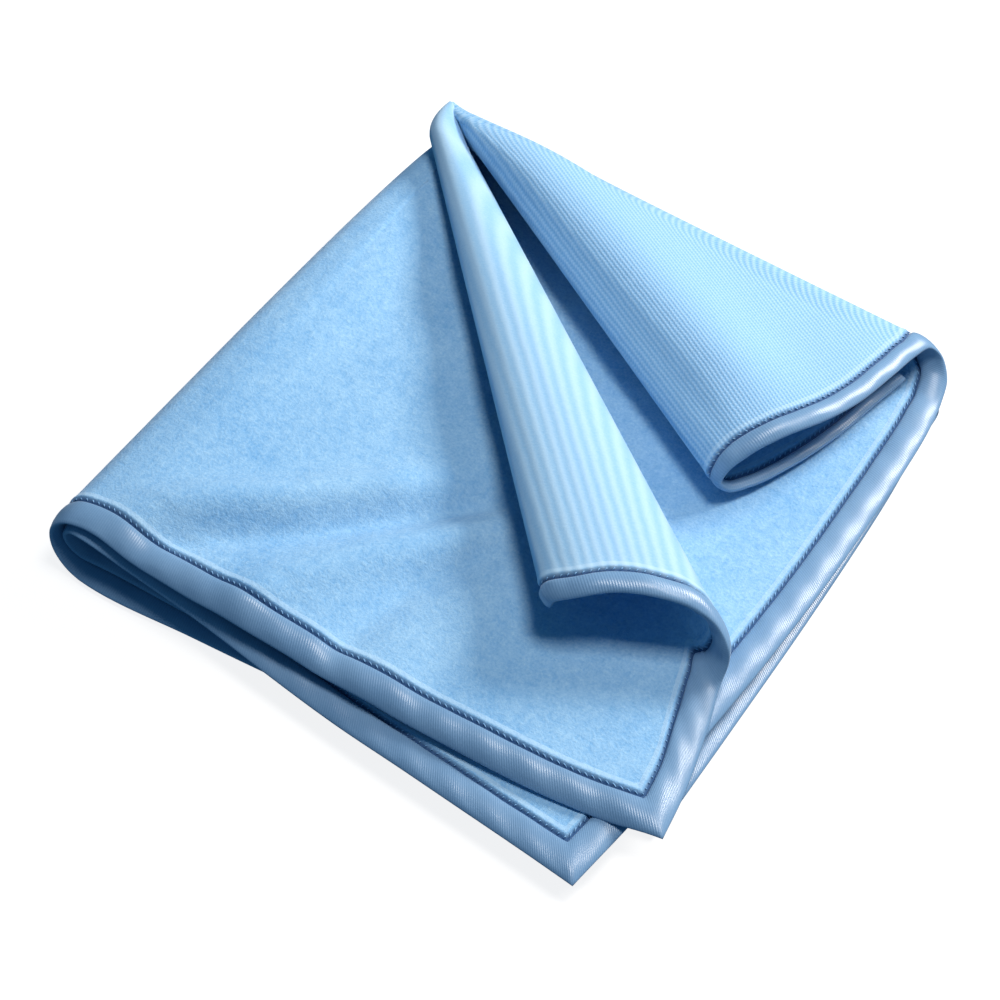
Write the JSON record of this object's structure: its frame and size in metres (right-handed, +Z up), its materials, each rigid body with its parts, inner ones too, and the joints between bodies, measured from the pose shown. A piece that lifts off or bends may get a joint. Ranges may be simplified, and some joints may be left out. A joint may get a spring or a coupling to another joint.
{
  "type": "polishing cloth",
  "caption": "Square microfibre polishing cloth with a bound edge, folded in quarters, with the loose corner thrown back in soft rolls; opens at its last fold.",
  "frame": {"origin": "centre of the bounding box on the surface the cloth lies on", "axes": "+X along the front hem, away from the folded edge; +Y from the front hem towards the closed corner; +Z up"},
  "size_m": [0.2107, 0.2238, 0.0447],
  "materials": {
    "plush_knit": "short cut plush microfibre, matt with a soft sheen",
    "ribbed_knit": "fine ribbed microfibre knit, matt",
    "binding_tape": "woven satin binding tape, soft gloss",
    "sewing_thread": "polyester sewing thread"
  },
  "bodies": {
    "lower_half": {"panel_bottom_ply": "plush_knit", "panel_third_ply": "plush_knit", "panel_back_fold": "plush_knit", "panel_outer_fold": "plush_knit", "panel_inner_fold": "plush_knit", "tape_bottom_front": "binding_tape", "tape_bottom_right": "binding_tape", "tape_third_front": "binding_tape", "tape_third_right": "binding_tape", "tape_back_fold": "binding_tape", "tape_outer_fold": "binding_tape", "tape_inner_fold": "binding_tape", "needle_thread_bottom": "sewing_thread", "bobbin_thread_bottom": "sewing_thread", "needle_thread_third": "sewing_thread", "bobbin_thread_third": "sewing_thread", "needle_thread_outer_fold": "sewing_thread", "bobbin_thread_outer_fold": "sewing_thread", "needle_thread_inner_fold": "sewing_thread", "bobbin_thread_inner_fold": "sewing_thread"},
    "upper_half": {"panel_middle_ply": "plush_knit", "panel_right_fold": "ribbed_knit", "panel_right_roll": "ribbed_knit", "panel_right_roll_under": "ribbed_knit", "panel_top_ply": "plush_knit", "panel_left_roll_side": "ribbed_knit", "panel_left_roll": "ribbed_knit", "panel_left_roll_under": "ribbed_knit", "tape_middle_front": "binding_tape", "tape_middle_right": "binding_tape", "tape_right_fold": "binding_tape", "tape_right_roll": "binding_tape", "tape_top_front": "binding_tape", "tape_top_right": "binding_tape", "tape_left_roll": "binding_tape", "needle_thread_middle": "sewing_thread", "bobbin_thread_middle": "sewing_thread", "needle_thread_right_roll": "sewing_thread", "bobbin_thread_right_roll": "sewing_thread", "needle_thread_top": "sewing_thread", "bobbin_thread_top": "sewing_thread"}
  },
  "joints": [
    {"name": "cloth_fold", "type": "hinge", "parent": "lower_half", "child": "upper_half", "pos_m": [-0.1105, 0, 0.0126], "axis": [0, -1, 0], "range_deg": [0, 140], "deforming": ["panel_outer_fold", "panel_inner_fold", "tape_outer_fold", "tape_inner_fold", "needle_thread_outer_fold", "bobbin_thread_outer_fold", "needle_thread_inner_fold", "bobbin_thread_inner_fold"]}
  ]
}
